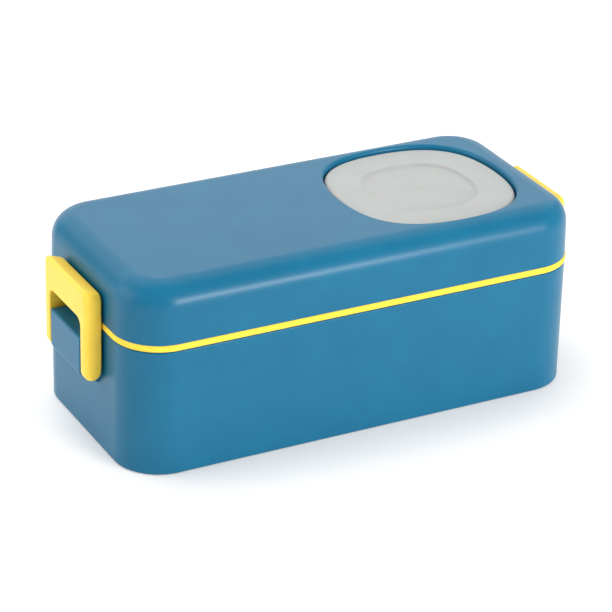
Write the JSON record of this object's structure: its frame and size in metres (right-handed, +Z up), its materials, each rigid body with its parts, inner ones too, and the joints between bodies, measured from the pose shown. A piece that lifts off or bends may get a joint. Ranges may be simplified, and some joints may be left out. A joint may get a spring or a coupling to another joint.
{
  "type": "bento lunch box",
  "caption": "Long rounded bento lunch box: food container with a removable divider, sealed lid with a sauce pot let into its top, and hinged end latches.",
  "frame": {"origin": "middle of the plane the box rests on, under its centre", "axes": "+X along the box towards the sauce pot's end, +Y across it to the back, +Z up"},
  "size_m": [0.216, 0.0958, 0.0805],
  "materials": {
    "blue_plastic": "moulded polypropylene, fine satin",
    "yellow_plastic": "moulded polypropylene, satin",
    "yellow_silicone": "matte silicone rubber",
    "frosted_plastic": "translucent frosted polypropylene",
    "white_silicone": "matte silicone rubber",
    "pin_steel": "drawn stainless steel wire"
  },
  "bodies": {
    "container": {"container": "blue_plastic", "left_hinge_pin": "pin_steel", "right_hinge_pin": "pin_steel"},
    "divider": {"divider": "blue_plastic"},
    "lid": {"lid": "blue_plastic", "seal_ring": "yellow_silicone"},
    "sauce_pot": {"sauce_pot": "frosted_plastic"},
    "sauce_pot_lid": {"sauce_pot_lid": "frosted_plastic", "sauce_pot_seal": "white_silicone"},
    "left_latch": {"left_latch": "yellow_plastic"},
    "right_latch": {"right_latch": "yellow_plastic"}
  },
  "joints": [
    {"name": "lid_lift", "type": "slide", "parent": "container", "child": "lid", "axis": [0, 0, 1], "range_m": [0, 0.09]},
    {"name": "divider_lift", "type": "slide", "parent": "container", "child": "divider", "axis": [0, 0, 1], "range_m": [0, 0.055]},
    {"name": "sauce_pot_lift", "type": "slide", "parent": "lid", "child": "sauce_pot", "axis": [0, 0, 1], "range_m": [0, 0.035]},
    {"name": "sauce_pot_lid_lift", "type": "slide", "parent": "sauce_pot", "child": "sauce_pot_lid", "axis": [0, 0, 1], "range_m": [0, 0.02]},
    {"name": "left_latch_hinge", "type": "hinge", "parent": "container", "child": "left_latch", "pos_m": [-0.10437, 0, 0.0358], "axis": [0, -1, 0], "range_deg": [0, 135]},
    {"name": "right_latch_hinge", "type": "hinge", "parent": "container", "child": "right_latch", "pos_m": [0.10437, 0, 0.0358], "axis": [0, 1, 0], "range_deg": [0, 135]}
  ],
  "couplings": [
    {"joint": "divider_lift", "follows": "lid_lift", "ratio": 0.6},
    {"joint": "left_latch_hinge", "follows": "lid_lift", "rad_per_m": 26.17},
    {"joint": "right_latch_hinge", "follows": "lid_lift", "rad_per_m": 26.17}
  ]
}
